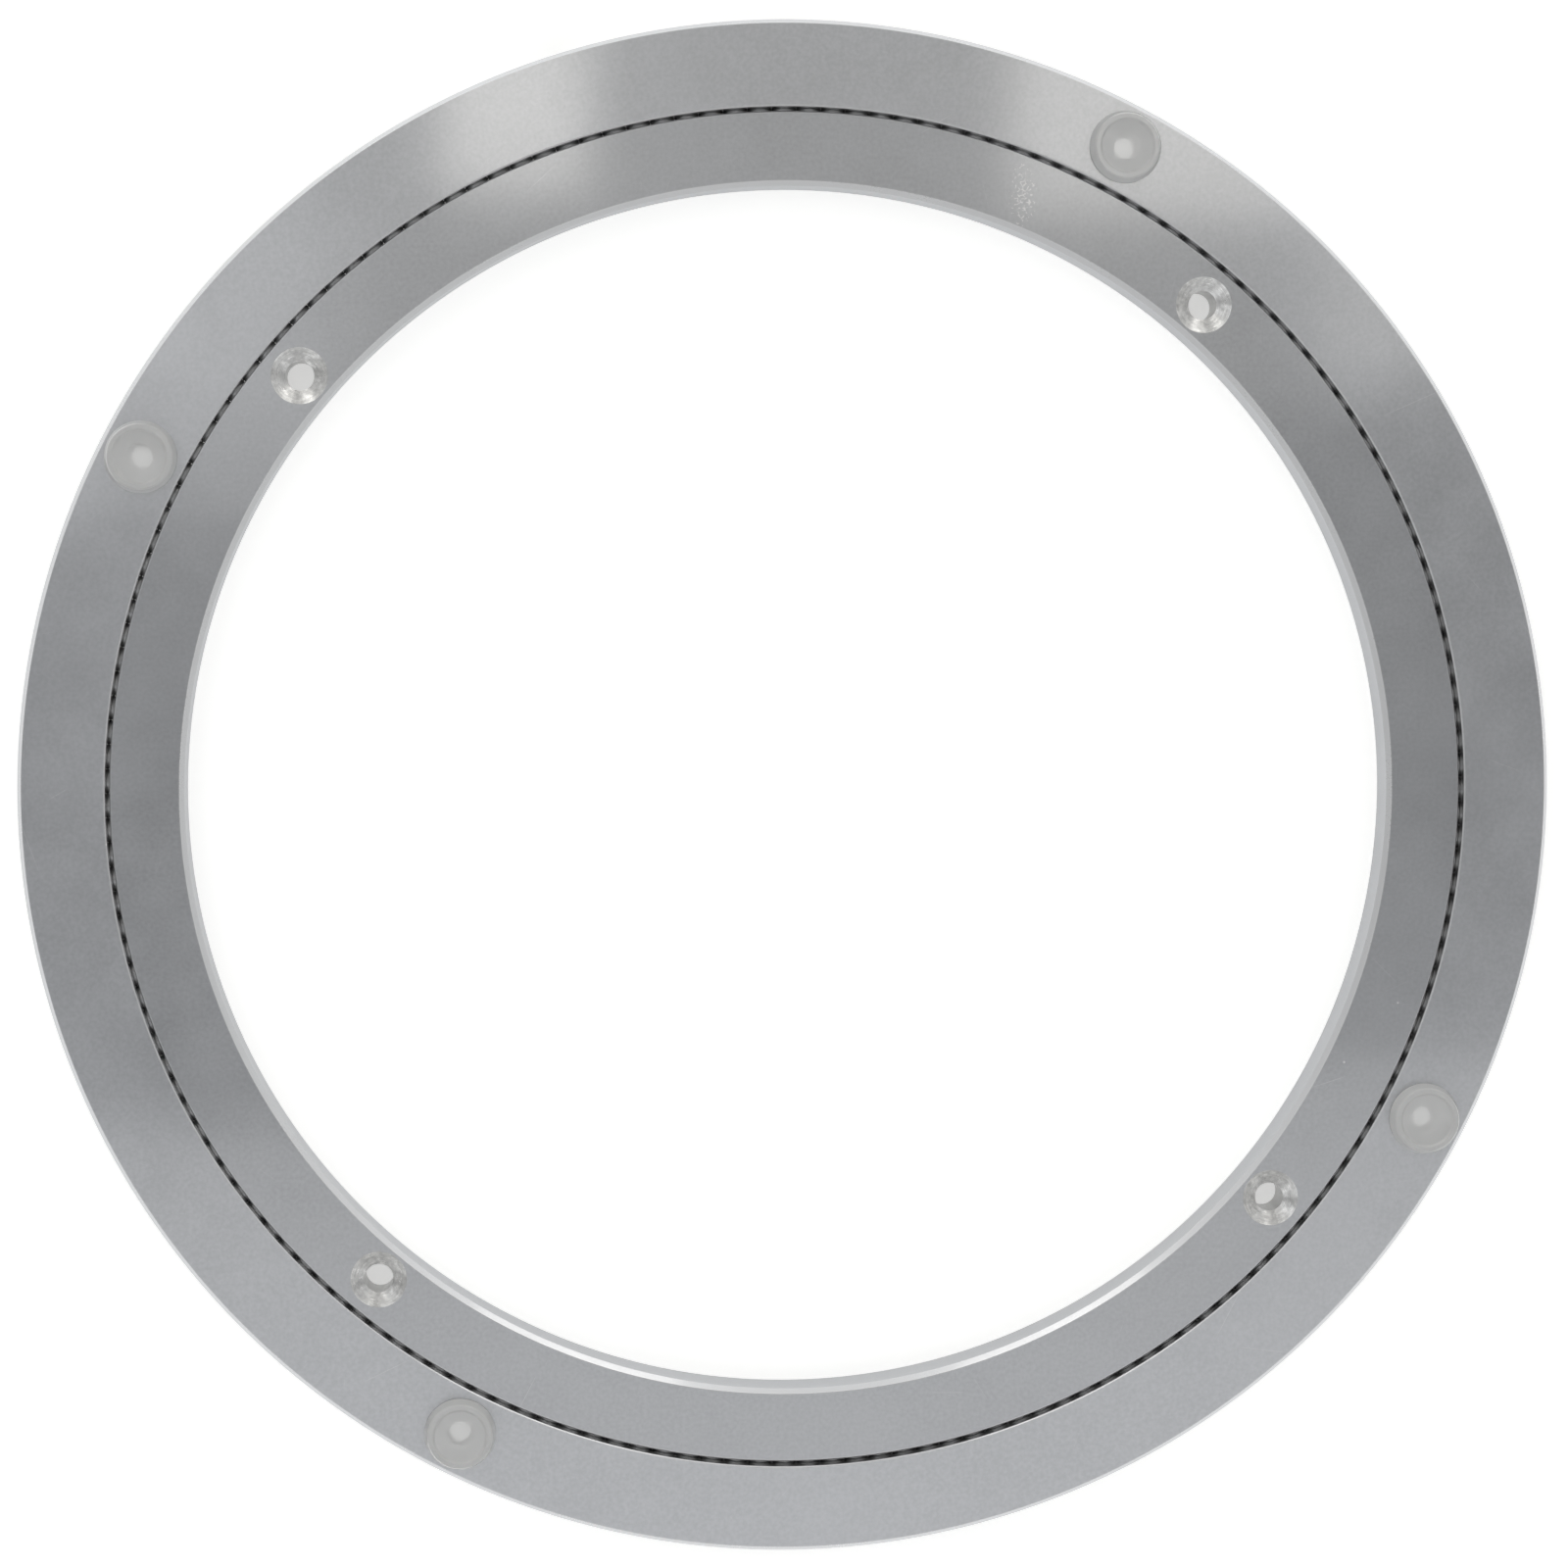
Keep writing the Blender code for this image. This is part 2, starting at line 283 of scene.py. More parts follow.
def drilling_tree(spacing):
    """Takes evenly spaced copies of a drill's shape out of a piece."""
    tree = new_tree("drill_round_axis", "GeometryNodeTree",
                    [("Blank", GEOMETRY), ("Drill", THING), ("Count", COUNT), ("Circle Radius", NUMBER),
                     ("Start Angle", NUMBER), ("Finish", FINISH)],
                    [("Geometry", GEOMETRY)])
    given = tree.nodes.new("NodeGroupInput").outputs
    drill = add(tree, "GeometryNodeObjectInfo", Object=given["Drill"]).outputs["Geometry"]
    drills = add(tree, "GeometryNodeGroup", {"node_tree": spacing}, Piece=drill, Count=given["Count"],
                 Circle_Radius=given["Circle Radius"], Start_Angle=given["Start Angle"],
                 Finish=given["Finish"]).outputs[0]
    drilled = add(tree, "GeometryNodeMeshBoolean", {"operation": "DIFFERENCE", "solver": "EXACT"},
                  Mesh_1=given["Blank"], Mesh_2=drills).outputs[0]
    finish_tree(tree, drilled, given["Finish"])
    return tree


def grow(piece, tree, name, **inputs):
    """Runs a tree on a piece and returns the result as a plain mesh at the origin."""
    if inputs["Finish"].name not in piece.data.materials:
        piece.data.materials.append(inputs["Finish"])
    modifier = piece.modifiers.new(tree.name, "NODES")
    modifier.node_group = tree
    sockets = {s.name: s.identifier for s in tree.interface.items_tree if s.in_out == "INPUT"}
    for key, value in inputs.items():
        modifier[sockets[key.replace("_", " ")]] = value
    graph = bpy.context.evaluated_depsgraph_get()
    mesh = bpy.data.meshes.new_from_object(piece.evaluated_get(graph), depsgraph=graph)
    bpy.data.objects.remove(piece)
    mesh.name = name
    made = bpy.data.objects.new(name, mesh)
    bpy.context.scene.collection.objects.link(made)
    return made


TURN = turning_tree()
SPACE = spacing_tree()
DRILL = drilling_tree(SPACE)


# ---- shader node groups --------------------------------------------------------------------
VECTOR = "NodeSocketVector"


def vector_node(tree, operation, *values, output="Vector"):
    return add(tree, "ShaderNodeVectorMath", {"operation": operation},
               **{f"i{i}": value for i, value in enumerate(values)}).outputs[output]


def scaled_vector(tree, vector, scale):
    return add(tree, "ShaderNodeVectorMath", {"operation": "SCALE"}, Vector=vector, Scale=scale).outputs[0]


def inverse(tree, mask):
    """1 where a mask is 0, and 0 where it is 1."""
    return math_node(tree, "SUBTRACT", 1.0, mask)


def product(tree, *values):
    whole = values[0]
    for value in values[1:]:
        whole = math_node(tree, "MULTIPLY", whole, value)
    return whole


def away_from(tree, value, level):
    """How far a value is from a level, to either side."""
    return math_node(tree, "ABSOLUTE", math_node(tree, "SUBTRACT", value, level))


def step_up(tree, value, low, high):
    """0 below low, 1 above high, smooth between."""
    return add(tree, "ShaderNodeMapRange", {"interpolation_type": "SMOOTHSTEP"},
               Value=value, From_Min=low, From_Max=high).outputs[0]


def step_down(tree, value, low, high):
    """1 below low, 0 above high, smooth between."""
    return inverse(tree, step_up(tree, value, low, high))


def noise(tree, place, scale, detail=2.0, roughness=0.5, distortion=0.0):
    """Cloudy values round 0.5. scale is how many clouds there are in 1 m."""
    return add(tree, "ShaderNodeTexNoise", Vector=place, Scale=scale, Detail=detail, Roughness=roughness,
               Distortion=distortion).outputs["Fac"]


def polar_group():
    """Distance from the axis, angle round it and height, from a position."""
    tree = new_tree("polar_place", "ShaderNodeTree", [("Position", VECTOR)],
                    [("Radius", NUMBER), ("Angle", NUMBER), ("Height", NUMBER)])
    given = tree.nodes.new("NodeGroupInput").outputs
    parts = add(tree, "ShaderNodeSeparateXYZ", Vector=given["Position"]).outputs
    flat = add(tree, "ShaderNodeCombineXYZ", X=parts["X"], Y=parts["Y"]).outputs[0]
    radius = vector_node(tree, "LENGTH", flat, output="Value")
    angle = math_node(tree, "ARCTAN2", parts["Y"], parts["X"])
    add(tree, "NodeGroupOutput", Radius=radius, Angle=angle, Height=parts["Z"])
    return tree


def random_cells(tree, given, dimensions):
    """A random pattern of cells: cells in 1 m, the place in it, the cell's outputs, its random numbers."""
    scale = math_node(tree, "DIVIDE", 1.0, given["Cell Size"])
    place = scaled_vector(tree, given["Position"], scale)
    cell = add(tree, "ShaderNodeTexVoronoi", {"voronoi_dimensions": dimensions}, Vector=place,
               Scale=1.0).outputs
    luck = add(tree, "ShaderNodeSeparateColor", Color=cell["Color"]).outputs
    return scale, place, cell, luck


def hairline_group():
    """Short straight hairlines, one at most in each cell of a random pattern."""
    tree = new_tree("hairlines", "ShaderNodeTree",
                    [("Position", VECTOR), ("Cell Size", NUMBER, 10.0 * MM),
                     ("Half Width", NUMBER, 0.03 * MM), ("Share", NUMBER, 0.4)],
                    [("Mask", NUMBER)])
    given = tree.nodes.new("NodeGroupInput").outputs
    scale, place, cell, luck = random_cells(tree, given, "2D")
    offset = vector_node(tree, "SUBTRACT", place, cell["Position"])
    turned = add(tree, "ShaderNodeVectorRotate", {"rotation_type": "Z_AXIS"}, Vector=offset,
                 Angle=product(tree, luck["Red"], math.tau)).outputs[0]
    line = add(tree, "ShaderNodeSeparateXYZ", Vector=turned).outputs
    half_width = product(tree, given["Half Width"], scale)
    half_length = math_node(tree, "MULTIPLY_ADD", luck["Green"], 0.3, 0.08)
    across = math_node(tree, "DIVIDE", math_node(tree, "ABSOLUTE", line["Y"]), half_width)
    along = math_node(tree, "DIVIDE", math_node(tree, "ABSOLUTE", line["X"]), half_length)
    chosen = math_node(tree, "LESS_THAN", luck["Blue"], given["Share"])
    mask = product(tree, step_down(tree, across, 0.4, 1.0), step_down(tree, along, 0.5, 1.0), chosen)
    add(tree, "NodeGroupOutput", Mask=mask)
    return tree


def nick_group():
    """Small round nicks, in some of the cells of a random pattern."""
    tree = new_tree("nicks", "ShaderNodeTree",
                    [("Position", VECTOR), ("Cell Size", NUMBER, 6.0 * MM),
                     ("Nick Size", NUMBER, 0.2 * MM), ("Share", NUMBER, 0.3)],
                    [("Mask", NUMBER)])
    given = tree.nodes.new("NodeGroupInput").outputs
    scale, _, cell, luck = random_cells(tree, given, "3D")
    size = product(tree, given["Nick Size"], scale, math_node(tree, "MULTIPLY_ADD", luck["Red"], 1.2, 0.4))
    spot = step_down(tree, math_node(tree, "DIVIDE", cell["Distance"], size), 0.5, 1.0)
    chosen = math_node(tree, "LESS_THAN", luck["Green"], given["Share"])
    add(tree, "NodeGroupOutput", Mask=product(tree, spot, chosen))
    return tree


def scratch_group():
    """One straight scratch between two places, thinning out at its ends."""
    tree = new_tree("straight_scratch", "ShaderNodeTree",
                    [("Position", VECTOR), ("From", VECTOR), ("To", VECTOR),
                     ("Half Width", NUMBER, 0.04 * MM)],
                    [("Mask", NUMBER)])
    given = tree.nodes.new("NodeGroupInput").outputs
    flat = vector_node(tree, "MULTIPLY", given["Position"], (1.0, 1.0, 0.0))
    offset = vector_node(tree, "SUBTRACT", flat, given["From"])
    way = vector_node(tree, "SUBTRACT", given["To"], given["From"])
    along = vector_node(tree, "DOT_PRODUCT", offset, way, output="Value")
    whole = vector_node(tree, "DOT_PRODUCT", way, way, output="Value")
    share = add(tree, "ShaderNodeClamp", Value=math_node(tree, "DIVIDE", along, whole)).outputs[0]
    off = vector_node(tree, "DISTANCE", offset, scaled_vector(tree, way, share), output="Value")
    line = step_down(tree, math_node(tree, "DIVIDE", off, given["Half Width"]), 0.4, 1.0)
    fade = math_node(tree, "SINE", product(tree, share, math.pi))
    add(tree, "NodeGroupOutput", Mask=product(tree, line, fade))
    return tree


def scuff_group():
    """A patch of small chips of light metal round one place, thinning out from its middle."""
    tree = new_tree("scuffed_patch", "ShaderNodeTree",
                    [("Position", VECTOR), ("Place", VECTOR), ("Reach", NUMBER, 6.0 * MM)],
                    [("Mask", NUMBER)])
    given = tree.nodes.new("NodeGroupInput").outputs
    warp = add(tree, "ShaderNodeTexNoise", Vector=given["Position"], Scale=900.0).outputs["Color"]
    bent = vector_node(tree, "MULTIPLY_ADD", warp, (1.1 * MM, 1.1 * MM, 0.0), given["Position"])
    chips = add(tree, "ShaderNodeTexVoronoi", {"voronoi_dimensions": "3D", "feature": "DISTANCE_TO_EDGE"},
                Vector=bent, Scale=1050.0).outputs["Distance"]
    lines = step_down(tree, chips, 0.04, 0.13)
    from_place = vector_node(tree, "SUBTRACT", given["Position"], given["Place"])
    narrowed = vector_node(tree, "MULTIPLY", from_place, (2.0, 0.85, 1.0))
    offset = vector_node(tree, "LENGTH", narrowed, output="Value")
    near = inverse(tree, math_node(tree, "DIVIDE", offset, given["Reach"]))
    broken = noise(tree, given["Position"], 1500.0, 3.0)
    kept = step_up(tree, math_node(tree, "MULTIPLY_ADD", near, 0.22, broken), 0.6, 0.66)
    inside = step_up(tree, near, 0.0, 0.15)
    add(tree, "NodeGroupOutput", Mask=product(tree, lines, kept, inside))
    return tree


def rubbed_group():
    """1 within a width of a given value, fading to 0, broken up by noise: for rubbed edges."""
    tree = new_tree("rubbed_edge", "ShaderNodeTree",
                    [("Position", VECTOR), ("Value", NUMBER), ("Edge", NUMBER), ("Width", NUMBER, 0.3 * MM),
                     ("Break Up", NUMBER, 0.5)],
                    [("Mask", NUMBER)])
    given = tree.nodes.new("NodeGroupInput").outputs
    ragged = noise(tree, given["Position"], 420.0, 4.0, 0.65)
    swing = product(tree, given["Break Up"], 2.0)
    share = math_node(tree, "MULTIPLY_ADD", ragged, swing, inverse(tree, given["Break Up"]))
    wide = product(tree, given["Width"], share)
    off = math_node(tree, "DIVIDE", away_from(tree, given["Value"], given["Edge"]), wide)
    add(tree, "NodeGroupOutput", Mask=step_down(tree, off, 0.3, 1.0))
    return tree


def tool_line_group():
    """Fine tool lines: height that changes quickly with one value and slowly round the piece."""
    tree = new_tree("tool_lines", "ShaderNodeTree",
                    [("Value", NUMBER), ("Angle", NUMBER), ("Pitch", NUMBER, 0.12 * MM),
                     ("Drift", NUMBER, 0.6)],
                    [("Height", NUMBER)])
    given = tree.nodes.new("NodeGroupInput").outputs
    place = add(tree, "ShaderNodeCombineXYZ",
                X=math_node(tree, "DIVIDE", given["Value"], given["Pitch"]),
                Y=product(tree, math_node(tree, "SINE", given["Angle"]), given["Drift"]),
                Z=product(tree, math_node(tree, "COSINE", given["Angle"]), given["Drift"])).outputs[0]
    add(tree, "NodeGroupOutput", Height=noise(tree, place, 1.0, roughness=0.6))
    return tree


POLAR, HAIRLINES, NICKS = polar_group(), hairline_group(), nick_group()
SCRATCH, SCUFF = scratch_group(), scuff_group()
RUBBED, TOOL_LINES = rubbed_group(), tool_line_group()


# ---- finishes ------------------------------------------------------------------------------
OUTER_TONE = (0.486, 0.495, 0.512)
INNER_TONE = (0.43, 0.438, 0.453)
RIM_WALL_PAINTED_LIGHT, BORE_WALL_PAINTED_LIGHT, CHAMFER_PAINTED_HIGHLIGHT = 1.1, 1.15, 1.2     # shares of the ring's own tone: painted light on the rim wall and the bore, painted highlight on the chamfers
BARE_METAL = (0.83, 0.83, 0.82, 1.0)
GROUND_METAL = (0.9, 0.9, 0.9, 1.0)

# the few marks that can be told apart: (x, y) where a scratch starts and ends, and a scuffed patch
OUTER_SCRATCHES = [((0.1330, 0.0428), (0.1368, 0.0388)), ((0.1444, 0.0332), (0.1468, 0.0296))]
INNER_SCRATCHES = [((-0.0518, 0.1160), (-0.0450, 0.1224)), ((0.1150, -0.0330), (0.1205, -0.0385))]
SCUFFED_PLACE = (0.0452, 0.1165)


def group(tree, kind, **inputs):
    return add(tree, "ShaderNodeGroup", {"node_tree": kind}, **inputs).outputs


def new_material(name):
    finish = bpy.data.materials.new(name)
    finish.use_nodes = True
    tree = finish.node_tree
    return finish, tree, tree.nodes["Principled BSDF"]


def object_place(tree):
    return tree.nodes.new("ShaderNodeTexCoord").outputs["Object"]


def surface_tilt(tree):
    """1 on a level face that looks up, 0 on an upright wall, -1 on a level face that looks down."""
    normal = tree.nodes.new("ShaderNodeNewGeometry").outputs["Normal"]
    return add(tree, "ShaderNodeSeparateXYZ", Vector=normal).outputs["Z"]


def mix_colour(tree, amount, first, second):
    node = add(tree, "ShaderNodeMix", {"data_type": "RGBA"}, i0=amount, i6=first, i7=second)
    return node.outputs[2]


def spread(tree, value, low, high, new_low, new_high):
    return add(tree, "ShaderNodeMapRange", Value=value, From_Min=low, From_Max=high,
               To_Min=new_low, To_Max=new_high).outputs[0]


def bump(tree, height, distance, strength=1.0, normal=None):
    node = add(tree, "ShaderNodeBump", Height=height, Distance=distance, Strength=strength)
    if normal is not None:
        tree.links.new(normal, node.inputs["Normal"])
    return node.outputs["Normal"]


def ring_zones(tree, place, tilt, inside, outside, face, open_wall):
    """Masks of a ring's rubbed edges, its open wall, its chamfers and its ground race."""
    polar = group(tree, POLAR, Position=place)
    radius, height = polar["Radius"], polar["Height"]
    in_edge = group(tree, RUBBED, Position=place, Value=radius, Edge=inside, Width=0.22 * MM)["Mask"]
    out_edge = group(tree, RUBBED, Position=place, Value=radius, Edge=outside, Width=0.22 * MM)["Mask"]
    top = step_up(tree, height, face - 0.4 * MM, face - 0.1 * MM)
    edges = product(tree, math_node(tree, "MAXIMUM", in_edge, out_edge), top)

    upright = step_down(tree, math_node(tree, "ABSOLUTE", tilt), 0.1, 0.4)
    wall = product(tree, upright, step_down(tree, away_from(tree, radius, open_wall), 0.5 * MM, 1.0 * MM))

    past_race = step_up(tree, away_from(tree, radius, PITCH), RACE, RACE + 0.3 * MM)
    chamfers = product(tree, step_up(tree, tilt, 0.35, 0.6), step_down(tree, tilt, 0.85, 0.97), past_race)
    below_face = step_down(tree, height, face - 0.5 * MM, face - 0.2 * MM)
    ground = product(tree, inverse(tree, past_race), below_face)
    return edges, wall, chamfers, ground


def ring_marks(tree, place, tilt, face, scratched, scuffed):
    """Masks of the scratches on a ring's level faces and of the nicks in it."""
    fine = group(tree, HAIRLINES, Position=place, Cell_Size=9.0 * MM, Half_Width=0.035 * MM,
                 Share=0.35)["Mask"]
    long = group(tree, HAIRLINES, Position=place, Cell_Size=31.0 * MM, Half_Width=0.05 * MM,
                 Share=0.3)["Mask"]
    scratches = math_node(tree, "MAXIMUM", product(tree, fine, 0.5), long)
    for start, end in scratched:
        line = group(tree, SCRATCH, Position=place, From=(*start, 0.0), To=(*end, 0.0))["Mask"]
        scratches = math_node(tree, "MAXIMUM", scratches, line)
    level = step_up(tree, math_node(tree, "ABSOLUTE", tilt), 0.75, 0.95)
    nicks = group(tree, NICKS, Position=place, Cell_Size=11.0 * MM, Nick_Size=0.22 * MM,
                  Share=0.25)["Mask"]
    if scuffed:
        scuff = group(tree, SCUFF, Position=place, Place=(*scuffed, face))["Mask"]
        nicks = math_node(tree, "MAXIMUM", nicks, scuff)
    return product(tree, scratches, level), nicks


def ring_aluminium(name, tone, inside, outside, face, open_wall, wall_painted_light, scratched=(), scuffed=None):
    """Satin machined aluminium: blasted grain on the faces, tool lines on the open wall, rubbed edges,
    painted light on the open wall and a painted highlight on the chamfers.
    """
    finish, tree, shader = new_material(name)
    place, tilt = object_place(tree), surface_tilt(tree)
    edges, wall, chamfers, ground = ring_zones(tree, place, tilt, inside, outside, face, open_wall)
    scratches, nicks = ring_marks(tree, place, tilt, face, scratched, scuffed)
    cloud = noise(tree, place, 55.0, 5.0, 0.62)
    smear = noise(tree, place, 14.0, 3.0, distortion=0.8)
    grain = noise(tree, place, 3800.0, 3.0, 0.7)
    pebble = noise(tree, place, 1300.0)

    def toned(share):
        return (*[min(c * share, 1.0) for c in tone], 1.0)

    mottle = math_node(tree, "ADD", spread(tree, cloud, 0.3, 0.7, 0.15, 0.85),
                       spread(tree, pebble, 0.3, 0.7, -0.35, 0.35))
    colour = mix_colour(tree, mottle, toned(0.91), toned(1.08))
    colour = mix_colour(tree, spread(tree, smear, 0.45, 0.75, 0.0, 0.35), colour, toned(1.12))
    # painted highlight: the chamfers are painted brighter than the ring's tone so that they shine white
    colour = mix_colour(tree, product(tree, chamfers, 0.9), colour, toned(CHAMFER_PAINTED_HIGHLIGHT))
    # painted light: the open wall is painted brighter than the ring's tone, by a share of its own for each
    # ring
    colour = mix_colour(tree, product(tree, wall, 0.9), colour, toned(wall_painted_light))
    colour = mix_colour(tree, ground, colour, GROUND_METAL)
    marks = math_node(tree, "MAXIMUM", product(tree, scratches, 0.4), product(tree, nicks, 0.6))
    bright = math_node(tree, "MAXIMUM", product(tree, edges, 0.15), marks)
    tree.links.new(mix_colour(tree, bright, colour, BARE_METAL), shader.inputs["Base Color"])

    rough = math_node(tree, "ADD", spread(tree, cloud, 0.3, 0.7, 0.38, 0.46),
                      spread(tree, grain, 0.3, 0.7, -0.05, 0.05))
    rough = math_node(tree, "MULTIPLY_ADD", wall, 0.08, rough)
    rough = math_node(tree, "MULTIPLY_ADD", math_node(tree, "MAXIMUM", chamfers, ground), -0.1, rough)
    rough = math_node(tree, "MULTIPLY_ADD", bright, -0.12, rough)
    tree.links.new(rough, shader.inputs["Roughness"])
    tree.links.new(inverse(tree, wall), shader.inputs["Coat Weight"])

    polar = group(tree, POLAR, Position=place)
    wall_lines = group(tree, TOOL_LINES, Value=polar["Height"], Angle=polar["Angle"],
                       Pitch=0.11 * MM)["Height"]
    blast = math_node(tree, "ADD", product(tree, grain, 0.5), product(tree, pebble, 0.6))
    blasted = bump(tree, blast, 0.012 * MM, 0.6)
    lined = bump(tree, product(tree, wall_lines, wall), 0.01 * MM, 0.7, blasted)
    cut = product(tree, math_node(tree, "MAXIMUM", scratches, nicks), -1.0)
    tree.links.new(bump(tree, cut, 0.02 * MM, 0.7, lined), shader.inputs["Normal"])

    shader.inputs["Metallic"].default_value = 1.0
    shader.inputs["Coat Roughness"].default_value = 0.085
    shader.inputs["Coat IOR"].default_value = 1.92
    return finish


def countersink_aluminium():
    """Bare cut metal inside the screw holes: brighter, with rings left by the chattering cutter; the
    upright wall of each hole is painted dark as shade.
    """
    finish, tree, shader = new_material("countersink_cut")
    place = object_place(tree)
    polar = group(tree, POLAR, Position=place)
    quarter = math.tau / SCREW_COUNT
    around = math_node(tree, "SUBTRACT", polar["Angle"], SCREW_START - quarter / 2)
    folded = math_node(tree, "SUBTRACT", math_node(tree, "FLOORED_MODULO", around, quarter), quarter / 2)
    outwards = product(tree, polar["Radius"], math_node(tree, "COSINE", folded))
    hole = add(tree, "ShaderNodeCombineXYZ",
               X=math_node(tree, "SUBTRACT", outwards, SCREW_CIRCLE),
               Y=product(tree, polar["Radius"], math_node(tree, "SINE", folded)),
               Z=polar["Height"]).outputs[0]
    local = group(tree, POLAR, Position=hole)
    rings = group(tree, TOOL_LINES, Value=local["Radius"], Angle=local["Angle"], Pitch=0.09 * MM,
                  Drift=1.4)["Height"]
    shine = product(tree, rings, noise(tree, place, 900.0, 3.0))
    cut = mix_colour(tree, spread(tree, shine, 0.15, 0.4, 0.0, 1.0),
                     (0.56, 0.56, 0.555, 1.0), (0.95, 0.95, 0.94, 1.0))
    # painted shade: the upright wall deep in each hole gets a dark colour, the cut cone keeps the bright
    # one
    cone = step_up(tree, surface_tilt(tree), 0.2, 0.5)
    colour = mix_colour(tree, cone, (0.48, 0.48, 0.475, 1.0), cut)
    tree.links.new(colour, shader.inputs["Base Color"])
    tree.links.new(spread(tree, shine, 0.1, 0.4, 0.42, 0.24), shader.inputs["Roughness"])
    tree.links.new(bump(tree, rings, 0.03 * MM, 0.9), shader.inputs["Normal"])
    shader.inputs["Metallic"].default_value = 1.0
    return finish


def bumper_rubber():
    """Clear soft rubber, hazy inside and faintly frosted by handling, with a smoother skin."""
    finish, tree, shader = new_material("clear_rubber")
    place = object_place(tree)
    haze = noise(tree, place, 260.0, 4.0)
    skin = noise(tree, place, 1500.0, 3.0)
    clear = mix_colour(tree, spread(tree, haze, 0.3, 0.7, 0.0, 1.0),
                       (0.965, 0.967, 0.957, 1.0), (0.99, 0.99, 0.982, 1.0))
    tree.links.new(clear, shader.inputs["Base Color"])
    tree.links.new(spread(tree, haze, 0.3, 0.7, 0.34, 0.44), shader.inputs["Roughness"])
    tree.links.new(bump(tree, skin, 0.004 * MM, 0.3), shader.inputs["Normal"])
    shader.inputs["Transmission Weight"].default_value = 0.62
    shader.inputs["IOR"].default_value = 1.43
    shader.inputs["Coat Weight"].default_value = 0.7
    shader.inputs["Coat Roughness"].default_value = 0.08
    return finish


def ball_steel():
    """Bearing steel under a dull film of grease, with a little of the bare polish showing through."""
    finish, tree, shader = new_material("ball_steel")
    film = noise(tree, object_place(tree), 700.0)
    colour = mix_colour(tree, film, (0.44, 0.445, 0.455, 1.0), (0.58, 0.58, 0.58, 1.0))
    tree.links.new(colour, shader.inputs["Base Color"])
    tree.links.new(spread(tree, film, 0.3, 0.7, 0.42, 0.56), shader.inputs["Roughness"])
    tree.links.new(spread(tree, film, 0.5, 0.65, 0.0, 0.4), shader.inputs["Coat Weight"])
    shader.inputs["Metallic"].default_value = 0.85
    shader.inputs["Coat Roughness"].default_value = 0.1
    return finish


def plug_steel():
    """Blackened steel, worn bright in specks."""
    finish, tree, shader = new_material("plug_steel")
    worn = noise(tree, object_place(tree), 1100.0, 4.0, 0.7)
    colour = mix_colour(tree, step_up(tree, worn, 0.56, 0.7), (0.05, 0.05, 0.055, 1.0),
                        (0.32, 0.31, 0.3, 1.0))
    tree.links.new(colour, shader.inputs["Base Color"])
    tree.links.new(spread(tree, worn, 0.3, 0.7, 0.5, 0.34), shader.inputs["Roughness"])
    tree.links.new(bump(tree, worn, 0.02 * MM, 0.5), shader.inputs["Normal"])
    shader.inputs["Metallic"].default_value = 0.9
    return finish


# ---- pieces --------------------------------------------------------------------------------
def revolved(name, profile, steps, wobble=None):
    """A solid of revolution about Z, closed on the axis. wobble(angle, height) adds to the radius."""
    shape = bmesh.new()
    rows = []
    for radius, height in profile:
        if radius < 1e-9:
            rows.append([shape.verts.new((0.0, 0.0, height))])
            continue
        row = []
        for step in range(steps):
            angle = math.tau * step / steps
            r = radius + (wobble(angle, height) if wobble else 0.0)
            row.append(shape.verts.new((r * math.cos(angle), r * math.sin(angle), height)))
        rows.append(row)
    for low, high in zip(rows, rows[1:]):
        for step in range(steps):
            after = (step + 1) % steps
            corners = [low[step % len(low)], low[after % len(low)],
                       high[after % len(high)], high[step % len(high)]]
            shape.faces.new(list(dict.fromkeys(corners)))
    bmesh.ops.recalc_face_normals(shape, faces=shape.faces)
    return mesh_object(name, shape)


def turned_ring(name, corners, finish):
    middle_radius = (min(c[0] for c in corners) + max(c[0] for c in corners)) / 2
    outline = [(p[0] - middle_radius, p[1]) for p in section(corners)]
    ring = grow(wire(name + "_section", outline), TURN, name, Steps=RING_STEPS, Path_Radius=middle_radius,
                Finish=finish)
    return tidy_shell(ring)


def chatter(angle, band):
    """How far a cutter that chattered left the countersink's wall off its cone, band by band."""
    shift = 2.4 * band
    return CHATTER * (0.6 * math.sin(29 * angle + shift) + 0.4 * math.sin(47 * angle - 1.7 * shift))


def screw_drill():
    """The shape of a screw hole and its countersink."""
    bands = COUNTERSINK_BANDS
    span = COUNTERSINK - SCREW_HOLE
    slope = span / COUNTERSINK_DEPTH
    cone = [(SCREW_HOLE + span * s / bands, INNER_FACE - COUNTERSINK_DEPTH * (1 - s / bands))
            for s in range(bands + 1)]
    profile = [(0.0, INNER_BACK - MM), (SCREW_HOLE, INNER_BACK - MM), *cone,
               (COUNTERSINK + 0.5 * MM * slope, INNER_FACE + 0.5 * MM), (0.0, INNER_FACE + 0.5 * MM)]

    def wave(angle, height):
        band = (height - INNER_FACE + COUNTERSINK_DEPTH) / COUNTERSINK_DEPTH * bands
        return chatter(angle, round(band)) if 0.5 < band < bands - 0.5 else 0.0
    return revolved("screw_drill", profile, COUNTERSINK_STEPS, wave)


def finish_countersinks(ring, finish):
    """Gives the screw holes the cut finish, and leaves the faces of their cones flat."""
    ring.data.materials.append(finish)
    step = math.tau / SCREW_COUNT
    for face in ring.data.polygons:
        angle = math.atan2(face.center.y, face.center.x) - SCREW_START
        nearest = SCREW_START + round(angle / step) * step
        centre = Vector((math.cos(nearest), math.sin(nearest))) * SCREW_CIRCLE
        if (face.center.xy - centre).length < COUNTERSINK and abs(face.normal.z) < 0.97:
            face.material_index = 1
            face.use_smooth = face.normal.z < 0.3


